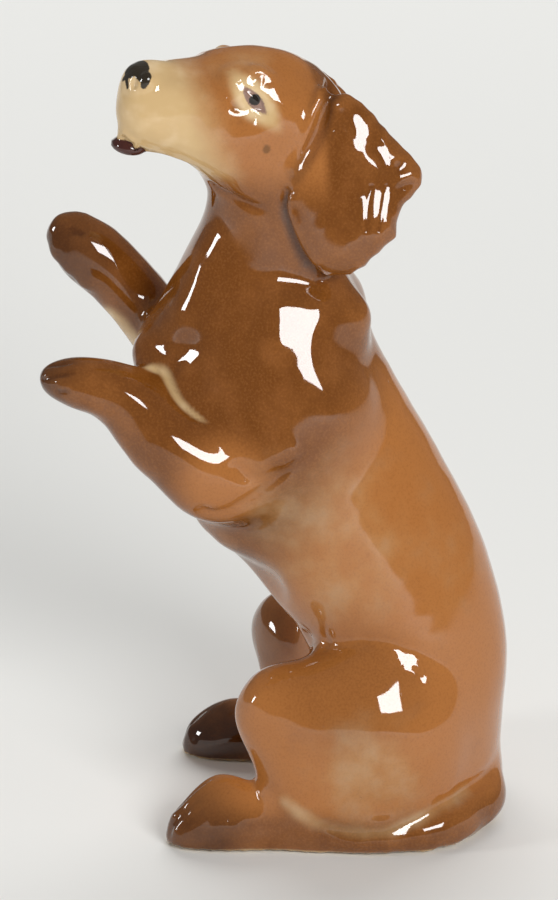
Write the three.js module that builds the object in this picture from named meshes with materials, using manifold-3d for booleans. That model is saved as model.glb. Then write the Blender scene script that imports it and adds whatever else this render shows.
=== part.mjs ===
// A glazed ceramic figurine of a short-haired hound that sits up on its haunches and begs.
// It is slip-cast as one piece, so it is one solid with a flat underside.
// Millimetres, +Z up. The dog looks towards -Y, and its left side is towards +X.
// The forms are placed from the middle of the haunches, and the finished part is then moved
// so that its origin is on the underside, in the middle of its box.
import * as THREE from "three";
import Module from "manifold-3d";

// Driving dimensions.
const headTurn = THREE.MathUtils.degToRad(20); // towards the dog's left
const neckAxisY = -20; // the head turns about the upright line through here
const haunchX = 19; // middle of each thigh, from the middle of the stance
const footX = 22.9; // middle of each hind foot, from the middle of the stance
const stanceShift = 2.6; // the hind legs stand this far to the left of the trunk
const armX = 18; // middle of each foreleg
const belowGround = 3; // the form runs on this far under the ground before it is cut off flat
const glazeBrown = 0xa5632f;

// How wide each join between two forms is filled, and each cut is rounded.
const join = {
  breast: 7, shoulder: 6, elbow: 4, arm: 7, knee: 8, foot: 4, leg: 7, tail: 2.5,
  neck: 5, jaw: 6, muzzle: 4, lip: 3, nose: 3, brow: 3, eyeSocket: 3, tongue: 0.8, earBed: 3, ear: 3,
};

// Smooth lower envelope of two distances: the join is filled over the blend width.
function blendIn(a, b, width) {
  const h = Math.max(width - Math.abs(a - b), 0) / width;
  return Math.min(a, b) - (h * h * width) / 4;
}

// Smooth cut: the shape a without b, with the edge rounded over the width.
function carveOut(a, b, width) {
  const h = Math.max(width - Math.abs(a + b), 0) / width;
  return Math.max(a, -b) + (h * h * width) / 4;
}

// A shape that is only worked out near its box [low corner, high corner]. Further off, the
// distance to the box stands in for it.
function within(box, shape) {
  const farOff = 8;
  return (x, y, z) => {
    const dx = Math.max(box[0][0] - x, x - box[1][0], 0);
    const dy = Math.max(box[0][1] - y, y - box[1][1], 0);
    const dz = Math.max(box[0][2] - z, z - box[1][2], 0);
    const off = Math.hypot(dx, dy, dz);
    return off > farOff ? off : shape(x, y, z);
  };
}

// Distance to a round form: q is the offset measured in radii, g how fast q grows, times q.
// At the very middle, where g vanishes, the smallest radius is the depth.
function levelDistance(q, g, smallest) {
  const atMiddle = 1e-9;
  return g < atMiddle ? -smallest : (q * (q - 1)) / g;
}

// An ellipsoid at a place, turned by Euler angles in degrees.
function ball(at, radii, turn = [0, 0, 0]) {
  const centre = new THREE.Vector3(...at);
  const [rx, ry, rz] = radii;
  const toOwn = new THREE.Matrix4()
    .makeRotationFromEuler(new THREE.Euler(...turn.map(THREE.MathUtils.degToRad)))
    .transpose().elements;
  return (x, y, z) => {
    const dx = x - centre.x;
    const dy = y - centre.y;
    const dz = z - centre.z;
    const u = (toOwn[0] * dx + toOwn[4] * dy + toOwn[8] * dz) / rx;
    const v = (toOwn[1] * dx + toOwn[5] * dy + toOwn[9] * dz) / ry;
    const w = (toOwn[2] * dx + toOwn[6] * dy + toOwn[10] * dz) / rz;
    return levelDistance(Math.hypot(u, v, w), Math.hypot(u / rx, v / ry, w / rz), Math.min(rx, ry, rz));
  };
}

// A tapering limb through stations [x, y, z, half width along X, radius across X].
function limb(stations) {
  const through = (points) => new THREE.CatmullRomCurve3(points, false, "catmullrom");
  const points = through(stations.map((s) => new THREE.Vector3(s[0], s[1], s[2])));
  const sizes = through(stations.map((s) => new THREE.Vector3(s[3], s[4], 0)));
  const stepsPerStation = 6;
  const count = (stations.length - 1) * stepsPerStation;
  const samples = [];
  for (let i = 0; i <= count; i++) {
    const p = points.getPoint(i / count);
    const r = sizes.getPoint(i / count);
    samples.push([p.x, p.y, p.z, r.x, r.y]);
  }
  const extent = [-1, 1].map((way) =>
    [0, 1, 2].map((m) => way * Math.max(...samples.map((p) => way * p[m] + Math.max(p[3], p[4])))),
  );
  return within(extent, (x, y, z) => {
    let nearest = Infinity;
    for (let i = 0; i < count; i++) {
      const a = samples[i];
      const b = samples[i + 1];
      const ex = b[0] - a[0];
      const ey = b[1] - a[1];
      const ez = b[2] - a[2];
      const along = ((x - a[0]) * ex + (y - a[1]) * ey + (z - a[2]) * ez) / (ex * ex + ey * ey + ez * ez);
      const t = Math.min(Math.max(along, 0), 1);
      const side = x - a[0] - t * ex;
      const across = Math.hypot(y - a[1] - t * ey, z - a[2] - t * ez);
      const rs = a[3] + t * (b[3] - a[3]);
      const ra = a[4] + t * (b[4] - a[4]);
      const d = levelDistance(
        Math.hypot(side / rs, across / ra),
        Math.hypot(side / (rs * rs), across / (ra * ra)),
        Math.min(rs, ra),
      );
      if (d < nearest) nearest = d;
    }
    return nearest;
  });
}

// A flap of even thickness: an outline in the plane of the flap, bent by a function of that plane.
function flap(outline, halfThickness, bend) {
  const curve = new THREE.CatmullRomCurve3(
    outline.map(([u, v]) => new THREE.Vector3(u, v, 0)),
    true,
  );
  const stepsPerPoint = 6;
  const rim = curve.getPoints(outline.length * stepsPerPoint).slice(0, -1);
  return (u, v, w) => {
    let inside = false;
    let nearest = Infinity;
    for (let i = 0, j = rim.length - 1; i < rim.length; j = i++) {
      const a = rim[j];
      const b = rim[i];
      const eu = b.x - a.x;
      const ev = b.y - a.y;
      const t = Math.min(Math.max(((u - a.x) * eu + (v - a.y) * ev) / (eu * eu + ev * ev), 0), 1);
      nearest = Math.min(nearest, Math.hypot(u - a.x - t * eu, v - a.y - t * ev));
      if (a.y > v !== b.y > v && u < a.x + ((v - a.y) / ev) * eu) inside = !inside;
    }
    const fromRim = inside ? -nearest : nearest;
    return Math.hypot(Math.max(fromRim + halfThickness, 0), w - bend(u, v)) - halfThickness;
  };
}

// Trunk, from the seat up the back to the neck, leaning forwards at the chest.
const trunk = limb([
  [0, 4, -8, 25, 22],
  [0, 4.8, 14, 26, 22.6],
  [0, 6.8, 34, 24.5, 21.3],
  [0, 2, 53, 22.5, 22.6],
  [0, -9.2, 70.8, 21.5, 24.9],
  [0, -20.2, 87.5, 21, 26.6],
  [0, -26, 103, 20, 25],
  [0, -26, 118, 17, 19.6],
  [0, -24.2, 134, 14.6, 14.6],
  [0, -23, 150, 13.6, 13.5],
]);
const breast = ball([0, -41.5, 103.5], [12, 12, 8.5], [-25, 0, 0]);

// Each hind leg: the folded thigh, and the foot that lies forwards on the ground.
const thigh = ball([haunchX, -3.5, 24], [11.5, 21.5, 20.5]);
const shin = limb([
  [haunchX + 2, -21.2, 33, 8, 8],
  [haunchX + 2.5, -17.5, 20, 7.6, 7.6],
  [footX, -13, 8, 7, 8],
]);
const hindFoot = limb([
  [footX - 1, -8, 3, 6.4, 8.8],
  [footX - 0.4, -22, 3, 6.2, 8.8],
  [footX, -32, 3.4, 6.8, 9.9],
  [footX, -38, 2, 6.4, 7.8],
]);

// The tail leaves the middle of the back and lies round the left haunch, on the ground.
const tail = limb([
  [-3, 20, 8, 7, 7],
  [6, 21.8, 6, 6.5, 6.5],
  [16, 20, 5, 6, 6],
  [23.8, 14, 4.6, 5.8, 5.8],
  [26.6, 4, 4.2, 5.4, 5.4],
  [26.6, -6, 3.8, 4.8, 4.8],
  [26, -16, 3.2, 3.6, 3.6],
]);

// Forelegs. The left one is bent level, and the right one is raised higher with its paw turned up.
const shoulder = ball([11, -21, 102], [11.5, 16, 23], [25, 0, 0]);
const withers = ball([6, -13, 115.5], [9, 9, 7.5], [20, 0, 0]);
const leftUpperArm = limb([
  [armX - 3, -14, 98, 9, 11],
  [armX, -25, 88.5, 9, 10.5],
  [armX + 1, -33.5, 84.5, 9, 9.8],
]);
const leftForearm = limb([
  [armX + 1, -34.5, 84.3, 9, 9.5],
  [armX + 1, -43, 91.3, 8.4, 8.8],
  [armX, -51.5, 99.3, 7.2, 7.8],
  [armX, -57.5, 103.5, 6.6, 6.6],
  [armX, -64, 105, 6.8, 5.7],
  [armX, -68.8, 105.8, 5, 4.2],
]);
const rightUpperArm = limb([
  [-armX + 3, -14, 98, 9, 11],
  [-armX, -24, 90, 9, 10.5],
  [-armX, -33, 88.5, 8.5, 9.6],
]);
const rightForearm = limb([
  [-armX, -33.5, 88.5, 8.5, 9.4],
  [-armX, -43.5, 97.4, 8, 8.2],
  [-armX, -51.5, 107.2, 7.2, 7.4],
  [-armX, -57.8, 115, 6.8, 7.2],
  [-armX, -64.3, 121.3, 6.6, 7.6],
  [-armX, -68.6, 125, 5.2, 6],
]);

// The head in its own frame: x to its left, y forwards negative, from the neck axis.
const skull = ball([0, -6.4, 160.6], [14.8, 20, 15.3], [-17, 0, 0]);
const jaw = ball([0, -9, 156], [12.5, 13, 10], [-15, 0, 0]);
const muzzle = limb([
  [0, -12, 161.5, 12, 12.5],
  [0, -20, 162.6, 10.8, 11],
  [0, -26, 164.4, 9.8, 10.2],
  [0, -29, 165.8, 9.2, 8.8],
]);
const nose = ball([0, -31.5, 171], [6.5, 4.8, 4.4]);
const lip = ball([0, -30.5, 163], [8, 6.5, 4.8]);
const brow = ball([7.5, -11.8, 171.2], [4.5, 4.5, 4]);
const eyeSocket = ball([16.8, -12.5, 168.5], [5, 6, 5]);
const tongue = limb([
  [0, -24, 158.5, 5, 3],
  [0, -36.2, 158.2, 3.8, 2.2],
]);

// One ear, in the plane of the flap: u backwards and v upwards from the root, w outwards.
const earOutline = [
  [0, 0],
  [8.2, -4.4],
  [14.8, -12],
  [20.4, -18.4],
  [21.2, -22.2],
  [16.8, -28],
  [14.4, -33],
  [8, -38.8],
  [1.4, -41.3],
  [-4, -38],
  [-8, -30],
  [-8.6, -21],
  [-4.6, -12],
];
const earHalfThickness = 2.6;
const earLean = 0.09; // how far the flap stands out for each millimetre down
const earSwell = { u: 3, v: -28, spread: 11.8, height: 2.2 }; // where the flap swells over the cheek
function earBulge(u, v) {
  const offset = Math.hypot(u - earSwell.u, v - earSwell.v) / earSwell.spread;
  return earSwell.height * Math.exp(-(offset ** 2)) - earLean * v;
}
const earShape = flap(earOutline, earHalfThickness, earBulge);
const earRoot = [12.2, 4.5, 170.6];
const earBed = ball([8.6, 6, 149], [6.2, 11, 15]);
const rightEarDrop = 1.6; // the head is tipped a little to the right
function ear(x, y, z) {
  const flapOnly = earShape(y - earRoot[1], z - earRoot[2], x - earRoot[0]);
  return blendIn(flapOnly, earBed(x, y, z), join.earBed);
}

function headDistance(worldX, worldY, z) {
  const dy = worldY - neckAxisY;
  const x = worldX * Math.cos(headTurn) + dy * Math.sin(headTurn);
  const y = -worldX * Math.sin(headTurn) + dy * Math.cos(headTurn);
  const side = Math.abs(x);
  let d = skull(x, y, z);
  d = blendIn(d, jaw(x, y, z), join.jaw);
  d = blendIn(d, muzzle(x, y, z), join.muzzle);
  d = blendIn(d, lip(x, y, z), join.lip);
  d = blendIn(d, nose(x, y, z), join.nose);
  d = blendIn(d, brow(side, y, z), join.brow);
  d = carveOut(d, eyeSocket(side, y, z), join.eyeSocket);
  d = blendIn(d, tongue(x, y, z), join.tongue);
  return blendIn(d, ear(side, y, x < 0 ? z + rightEarDrop : z), join.ear);
}

function figureDistance(x, y, z) {
  const side = Math.abs(x);
  let d = blendIn(trunk(x, y, z), breast(x, y, z), join.breast);
  d = blendIn(d, shoulder(side, y, z), join.shoulder);
  d = blendIn(d, withers(side, y, z), join.shoulder);
  const upperArm = x > 0 ? leftUpperArm : rightUpperArm;
  const forearm = x > 0 ? leftForearm : rightForearm;
  d = blendIn(d, blendIn(upperArm(x, y, z), forearm(x, y, z), join.elbow), join.arm);
  const stanceSide = Math.abs(x - stanceShift);
  let leg = blendIn(thigh(stanceSide, y, z), shin(stanceSide, y, z), join.knee);
  leg = blendIn(leg, hindFoot(stanceSide, y, z), join.foot);
  d = blendIn(d, leg, join.leg);
  d = blendIn(d, tail(x, y, z), join.tail);
  d = blendIn(d, headDistance(x, y, z), join.neck);
  return Math.max(d, -belowGround - z);
}

// Grid lines of one axis, from [start, end, step] spans, finer where the form is finer.
function gridLines(spans) {
  const lines = [spans[0][0]];
  for (const [start, end, step] of spans) {
    const count = Math.round((end - start) / step);
    for (let i = 1; i <= count; i++) lines.push(start + ((end - start) * i) / count);
  }
  return lines;
}
const xLines = gridLines([[-39, 39, 3.3]]);
const yLines = gridLines([[-81, 36, 3.45]]);
const zLines = gridLines([
  [-9, 18, 3],
  [18, 84, 5],
  [84, 130, 3.7],
  [130, 184, 2.75],
]);

// The grid draws in towards the neck axis at the head, whose forms are smaller.
const headGrid = { from: 124, to: 146, narrowing: 0.27 };
function gridPoint(i, j, k) {
  const z = zLines[k];
  const scale = 1 - headGrid.narrowing * THREE.MathUtils.smoothstep(z, headGrid.from, headGrid.to);
  return [xLines[i] * scale, neckAxisY + (yLines[j] - neckAxisY) * scale, z];
}

// Neighbours of each corner of a cell, the corners counted as bits x, y and z.
const cornerLinks = [0, 1, 2, 3, 4, 5, 6, 7].map((c) => [c ^ 1, c ^ 2, c ^ 4]);

// Whether the corners of one kind hang together along the cell's edges.
function inOnePiece(isKind) {
  const start = isKind.indexOf(true);
  if (start < 0) return true;
  const reached = new Set([start]);
  for (const c of reached) {
    for (const next of cornerLinks[c]) if (isKind[next]) reached.add(next);
  }
  return reached.size === isKind.filter(Boolean).length;
}

// Fills the corner nearest the surface in each cell that two sheets of surface would cross.
function fillSlits(field, size, stride) {
  const corners = cornerLinks.map((_, c) => (c & 1) + ((c >> 1) & 1) * stride[1] + (c >> 2) * stride[2]);
  const filledDistance = -0.02; // just inside
  let changed = true;
  while (changed) {
    changed = false;
    for (let k = 0; k < size[2] - 1; k++) {
      for (let j = 0; j < size[1] - 1; j++) {
        for (let i = 0; i < size[0] - 1; i++) {
          const cell = i + j * stride[1] + k * stride[2];
          const isInside = corners.map((c) => field[cell + c] < 0);
          if (inOnePiece(isInside) && inOnePiece(isInside.map((b) => !b))) continue;
          let nearest = -1;
          for (const c of corners) {
            const d = field[cell + c];
            if (d >= 0 && (nearest < 0 || d < field[nearest])) nearest = cell + c;
          }
          field[nearest] = filledDistance;
          changed = true;
        }
      }
    }
  }
}

// Closed surface at distance zero: one point in each grid cell that the surface crosses,
// moved onto the surface, and one square across each grid edge that it crosses.
function surfaceOf(distance) {
  const size = [xLines.length, yLines.length, zLines.length];
  const stride = [1, size[0], size[0] * size[1]];
  const field = new Float32Array(size[0] * size[1] * size[2]);
  for (let k = 0; k < size[2]; k++) {
    for (let j = 0; j < size[1]; j++) {
      for (let i = 0; i < size[0]; i++) {
        field[i + j * stride[1] + k * stride[2]] = distance(...gridPoint(i, j, k));
      }
    }
  }
  fillSlits(field, size, stride);
  const positions = [];
  const cellPoint = new Int32Array(field.length).fill(-1);
  for (let k = 0; k < size[2] - 1; k++) {
    for (let j = 0; j < size[1] - 1; j++) {
      for (let i = 0; i < size[0] - 1; i++) {
        const corner = i + j * stride[1] + k * stride[2];
        const crossings = [];
        for (let axis = 0; axis < 3; axis++) {
          const b = (axis + 1) % 3;
          const c = (axis + 2) % 3;
          for (let n = 0; n < 4; n++) {
            const from = corner + (n & 1) * stride[b] + (n >> 1) * stride[c];
            const d0 = field[from];
            const d1 = field[from + stride[axis]];
            if (d0 < 0 === d1 < 0) continue;
            const start = [i, j, k];
            start[b] += n & 1;
            start[c] += n >> 1;
            const end = [...start];
            end[axis] += 1;
            const crossing = new THREE.Vector3(...gridPoint(...start));
            crossings.push(crossing.lerp(new THREE.Vector3(...gridPoint(...end)), d0 / (d0 - d1)));
          }
        }
        if (!crossings.length) continue;
        cellPoint[corner] = positions.length / 3;
        const middle = crossings.reduce((sum, p) => sum.add(p), new THREE.Vector3());
        positions.push(...middle.divideScalar(crossings.length).toArray());
      }
    }
  }
  const triangles = [];
  for (let k = 1; k < size[2] - 1; k++) {
    for (let j = 1; j < size[1] - 1; j++) {
      for (let i = 1; i < size[0] - 1; i++) {
        const corner = i + j * stride[1] + k * stride[2];
        for (let axis = 0; axis < 3; axis++) {
          const inside = field[corner] < 0;
          if (inside === field[corner + stride[axis]] < 0) continue;
          const back = stride[(axis + 1) % 3];
          const side = stride[(axis + 2) % 3];
          const around = [corner - back - side, corner - side, corner, corner - back];
          const ring = around.map((c) => cellPoint[c]);
          const [p, q, r, s] = inside ? ring : ring.reverse();
          triangles.push(p, q, r, p, r, s);
        }
      }
    }
  }
  const evenings = 3;
  for (let round = 0; round < evenings; round++) {
    evenOut(positions, triangles);
    settle(positions, distance);
  }
  return { positions: new Float32Array(positions), triangles: new Uint32Array(triangles) };
}

// Draws each point halfway to the middle of its neighbours.
function evenOut(positions, triangles) {
  const sums = new Float64Array(positions.length);
  const counts = new Float64Array(positions.length / 3);
  for (let i = 0; i < triangles.length; i++) {
    const point = triangles[i];
    const next = triangles[i % 3 === 2 ? i - 2 : i + 1];
    for (let m = 0; m < 3; m++) sums[point * 3 + m] += positions[next * 3 + m];
    counts[point]++;
  }
  for (let i = 0; i < positions.length; i++) {
    const average = sums[i] / counts[Math.floor(i / 3)];
    positions[i] = (positions[i] + average) / 2;
  }
}

// Moves each point along the distance's slope until it lies on the surface.
function settle(positions, distance) {
  const reach = 0.05; // step over which the slope is taken
  const longestMove = 0.8;
  const flattestSlope = 0.25; // squared, so that a point in a crease isn't thrown far off
  const passes = 3;
  for (let i = 0; i < positions.length; i += 3) {
    for (let pass = 0; pass < passes; pass++) {
      const [x, y, z] = positions.slice(i, i + 3);
      const d = distance(x, y, z);
      const slope = [
        distance(x + reach, y, z) - distance(x - reach, y, z),
        distance(x, y + reach, z) - distance(x, y - reach, z),
        distance(x, y, z + reach) - distance(x, y, z - reach),
      ].map((s) => s / (2 * reach));
      const steepness = Math.max(slope[0] ** 2 + slope[1] ** 2 + slope[2] ** 2, flattestSlope);
      const move = THREE.MathUtils.clamp(d, -longestMove, longestMove) / steepness;
      for (let m = 0; m < 3; m++) positions[i + m] -= move * slope[m];
    }
  }
}

const wasm = await Module();
wasm.setup();

function solidOf(positions, triangles) {
  return new wasm.Manifold(new wasm.Mesh({ numProp: 3, vertProperties: positions, triVerts: triangles }));
}

// The block below the ground that cuts the underside flat.
function groundBlock() {
  const width = 200;
  const depth = 40;
  const block = new THREE.BoxGeometry(width, width, depth).toNonIndexed();
  block.translate(0, 0, -depth / 2);
  const corners = [];
  const index = [];
  const seen = new Map();
  const p = block.getAttribute("position");
  for (let i = 0; i < p.count; i++) {
    const key = [p.getX(i), p.getY(i), p.getZ(i)].join();
    if (!seen.has(key)) {
      seen.set(key, corners.length / 3);
      corners.push(p.getX(i), p.getY(i), p.getZ(i));
    }
    index.push(seen.get(key));
  }
  return solidOf(new Float32Array(corners), new Uint32Array(index));
}

const whole = surfaceOf(figureDistance);
const cut = solidOf(whole.positions, whole.triangles).subtract(groundBlock()).getMesh();
const geometry = new THREE.BufferGeometry()
  .setAttribute("position", new THREE.BufferAttribute(cut.vertProperties, 3))
  .setIndex(new THREE.BufferAttribute(cut.triVerts, 1));
geometry.computeVertexNormals();
geometry.computeBoundingBox();
const middle = geometry.boundingBox.getCenter(new THREE.Vector3());
geometry.translate(-middle.x, -middle.y, 0);

const dog = new THREE.Mesh(
  geometry,
  new THREE.MeshStandardMaterial({ color: glazeBrown, roughness: 0.12, metalness: 0 }),
);
dog.name = "dog_figurine";

const figurine = new THREE.Group();
figurine.add(dog);
export default figurine;
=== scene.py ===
# A glazed ceramic dog that begs on its haunches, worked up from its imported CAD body.
# Places on the dog are in millimetres from the middle of its stance: x to its left, y to its back, z up.
import math

import bpy
import numpy as np
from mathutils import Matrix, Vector, noise


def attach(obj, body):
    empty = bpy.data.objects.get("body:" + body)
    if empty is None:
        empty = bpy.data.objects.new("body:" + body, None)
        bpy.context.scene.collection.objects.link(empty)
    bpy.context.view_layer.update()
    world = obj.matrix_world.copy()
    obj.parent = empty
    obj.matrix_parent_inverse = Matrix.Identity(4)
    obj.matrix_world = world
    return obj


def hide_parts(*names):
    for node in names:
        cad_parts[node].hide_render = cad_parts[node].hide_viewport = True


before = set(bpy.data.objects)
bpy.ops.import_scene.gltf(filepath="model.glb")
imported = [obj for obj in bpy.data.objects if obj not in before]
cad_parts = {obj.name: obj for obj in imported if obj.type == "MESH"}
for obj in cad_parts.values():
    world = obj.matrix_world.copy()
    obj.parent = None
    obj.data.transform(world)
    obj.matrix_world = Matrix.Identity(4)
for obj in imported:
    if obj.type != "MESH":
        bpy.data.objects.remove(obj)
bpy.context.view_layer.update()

mm = 0.001
stanceMiddle = np.array([2.514, -23.12, 0.0])  # the part's origin, seen from the middle of the stance


def linear(hexColour):
    # sRGB hex to the linear values that a shader takes
    parts = [int(hexColour[i:i + 2], 16) / 255 for i in (1, 3, 5)]
    return tuple(c / 12.92 if c <= 0.04045 else ((c + 0.055) / 1.055) ** 2.4 for c in parts) + (1.0,)


def only(piece):
    bpy.ops.object.select_all(action="DESELECT")
    piece.select_set(True)
    bpy.context.view_layer.objects.active = piece


# The photograph's view
view = {
    "azimuth": 93.5,
    "elevation": 22.5,
    "distance": 1.3,
    "lookAt": (-0.0025, 0.0011, 0.0829),
    "lens": 237.6,  # mm
    "frameHeight": 36,  # mm, along the picture's long side
    "clip": (0.05, 20),
}


def aim(thing, azimuth, elevation, distance, target):
    a, e = math.radians(azimuth), math.radians(elevation)
    outwards = Vector((math.sin(a) * math.cos(e), -math.cos(a) * math.cos(e), math.sin(e)))
    thing.location = Vector(target) + outwards * distance
    thing.rotation_euler = outwards.to_track_quat("Z", "Y").to_euler()


bpy.ops.object.camera_add()
camera = bpy.context.object
camera.name = "photoCamera"
aim(camera, view["azimuth"], view["elevation"], view["distance"], view["lookAt"])
camera.data.lens = view["lens"]
camera.data.clip_start, camera.data.clip_end = view["clip"]
bpy.context.scene.camera = camera
bpy.context.scene.view_settings.view_transform = "Standard"
print("camera in place")


# Where the floor, the backdrop, the soft boxes and the light behind the dog stand, in metres
stage = {
    "paperSize": 9.0,
    "backdropAt": (-4.2, 0, 0.9),
    "paperColour": "#e2e2df",
    "paperRoughness": 0.9,
    "paperShine": 0.2,
    "roomColour": "#6b6b6b",
    "roomStrength": 1.2,
    "aimedAt": (0, 0, 0.09),
    "softBoxes": {
        # azimuth, elevation, distance, width, height, power in watts
        "rightBox": (121, 27, 1.15, 0.54, 0.34, 10),
        "leftBox": (17, 15, 1.25, 0.22, 0.28, 4),
        "paperLight": (270, 40, 2.0, 2.6, 1.4, 40),
    },
}


# The clay: a dense, smooth copy of the CAD body
bodyMesh = {
    "node": "dog_figurine",
    "mergeWithin": 0.02,  # mm
    "levels": 2,
}


def smoothCopy(settings):
    piece = bpy.data.objects.new("glazedDog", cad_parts[settings["node"]].data.copy())
    bpy.context.scene.collection.objects.link(piece)
    piece.data.materials.clear()
    only(piece)
    bpy.ops.object.mode_set(mode="EDIT")
    bpy.ops.mesh.select_all(action="SELECT")
    bpy.ops.mesh.remove_doubles(threshold=settings["mergeWithin"] * mm)
    bpy.ops.mesh.customdata_custom_splitnormals_clear()
    bpy.ops.mesh.tris_convert_to_quads(face_threshold=math.pi, shape_threshold=math.pi)
    bpy.ops.object.mode_set(mode="OBJECT")
    bpy.ops.object.modifier_add(type="SUBSURF")
    piece.modifiers[-1].levels = settings["levels"]
    piece.modifiers[-1].render_levels = settings["levels"]
    bpy.ops.object.modifier_apply(modifier=piece.modifiers[-1].name)
    bpy.ops.object.shade_smooth()
    return piece


def smoothStep(value, low, high):
    t = np.clip((value - low) / (high - low), 0, 1)
    return t * t * (3 - 2 * t)


# Frames of reference on the dog. The head is turned about the neck, and each ear has its root.
headPose = {"pivot": np.array([0, -20, 0]), "turn": math.radians(20)}
earPose = {"root": np.array([12.2, 4.5, 170.6]), "rightDrop": 1.6}


def seenFrom(points, place):
    # x outwards to the left (or to the right, on the right side's places), y back, z up
    if place == "body":
        return points
    if place == "bodyRight":
        return points * (-1, 1, 1)
    c, s = math.cos(headPose["turn"]), math.sin(headPose["turn"])
    moved = points - headPose["pivot"]
    local = np.stack([moved[:, 0] * c + moved[:, 1] * s, -moved[:, 0] * s + moved[:, 1] * c, moved[:, 2]], 1)
    if place.endswith("Right"):
        local = local * (-1, 1, 1)
    if place.startswith("ear"):
        local = local - earPose["root"]
        if place == "earRight":
            local[:, 2] += earPose["rightDrop"]
    return local


def turnedBack(vector, place):
    # a move, or many, given in a place's own directions, in the dog's directions
    x, y, z = np.asarray(vector, float).T
    if place.endswith("Right"):
        x = -x
    if place.startswith("body"):
        return np.array([x, y, z]).T
    c, s = math.cos(headPose["turn"]), math.sin(headPose["turn"])
    return np.array([x * c - y * s, x * s + y * c, z]).T


def rootOf(place):
    # where a place's own zero lies, before the head's turn
    return earPose["root"] if place.startswith("ear") else np.zeros(3)


def outwardsOf(azimuth, elevation):
    a, e = math.radians(azimuth), math.radians(elevation)
    return np.array([math.sin(a) * math.cos(e), -math.cos(a) * math.cos(e), math.sin(e)])


def facingTowards(facing, spot):
    # the direction of an azimuth and elevation, or the one that mirrors a named soft box to the camera
    if not isinstance(facing, str):
        return outwardsOf(*facing)
    spot = (spot - stanceMiddle) * mm
    azimuth, elevation, distance = stage["softBoxes"][facing][:3]
    toBox = outwardsOf(azimuth, elevation) * distance + np.array(stage["aimedAt"]) - spot
    fromCamera = outwardsOf(view["azimuth"], view["elevation"]) * view["distance"]
    toCamera = fromCamera + np.array(view["lookAt"]) - spot
    halfway = toBox / np.linalg.norm(toBox) + toCamera / np.linalg.norm(toCamera)
    return halfway / np.linalg.norm(halfway)


def curveThrough(points, steps=8):
    # a smooth line through a few points, and how far along it each sample lies, from 0 to 1
    p = np.array(points, float)
    padded = np.vstack([2 * p[0] - p[1], p, 2 * p[-1] - p[-2]])
    samples = []
    for i in range(len(p) - 1):
        a, b, c, d = padded[i:i + 4]
        for t in np.linspace(0, 1, steps, endpoint=False):
            samples.append(0.5 * (2 * b + (c - a) * t + (2 * a - 5 * b + 4 * c - d) * t ** 2
                                  + (3 * b - a - 3 * c + d) * t ** 3))
    return np.array(samples + [p[-1]])


def fromLine(points, line):
    # distance from each point to the line, how far along it the nearest place lies, and that place
    distance = np.full(len(points), np.inf)
    along = np.zeros(len(points))
    foot = np.zeros_like(points)
    count = len(line) - 1
    for i in range(count):
        a, step = line[i], line[i + 1] - line[i]
        t = np.clip(((points - a) @ step) / (step @ step), 0, 1)
        place = a + t[:, None] * step
        d = np.linalg.norm(points - place, axis=1)
        closer = d < distance
        distance[closer] = d[closer]
        along[closer] = (i + t[closer]) / count
        foot[closer] = place[closer]
    return distance, along, foot


def closeBy(points, line, reach):
    # which points lie in the line's box, or within a reach of it
    return np.flatnonzero(np.all((points > line.min(0) - reach) & (points < line.max(0) + reach), 1))


def turnMatrix(degrees):
    x, y, z = (math.radians(d) for d in degrees)
    rx = np.array([[1, 0, 0], [0, math.cos(x), -math.sin(x)], [0, math.sin(x), math.cos(x)]])
    ry = np.array([[math.cos(y), 0, math.sin(y)], [0, 1, 0], [-math.sin(y), 0, math.cos(y)]])
    rz = np.array([[math.cos(z), -math.sin(z), 0], [math.sin(z), math.cos(z), 0], [0, 0, 1]])
    return rz @ ry @ rx


def fromBall(points, at, radii, turn=(0, 0, 0)):
    # distance to an ellipsoid, negative inside
    own = (points - np.array(at)) @ turnMatrix(turn) / np.array(radii)
    q = np.linalg.norm(own, axis=1)
    g = np.maximum(np.linalg.norm(own / np.array(radii), axis=1), 1e-6)
    return q * (q - 1) / g


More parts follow.
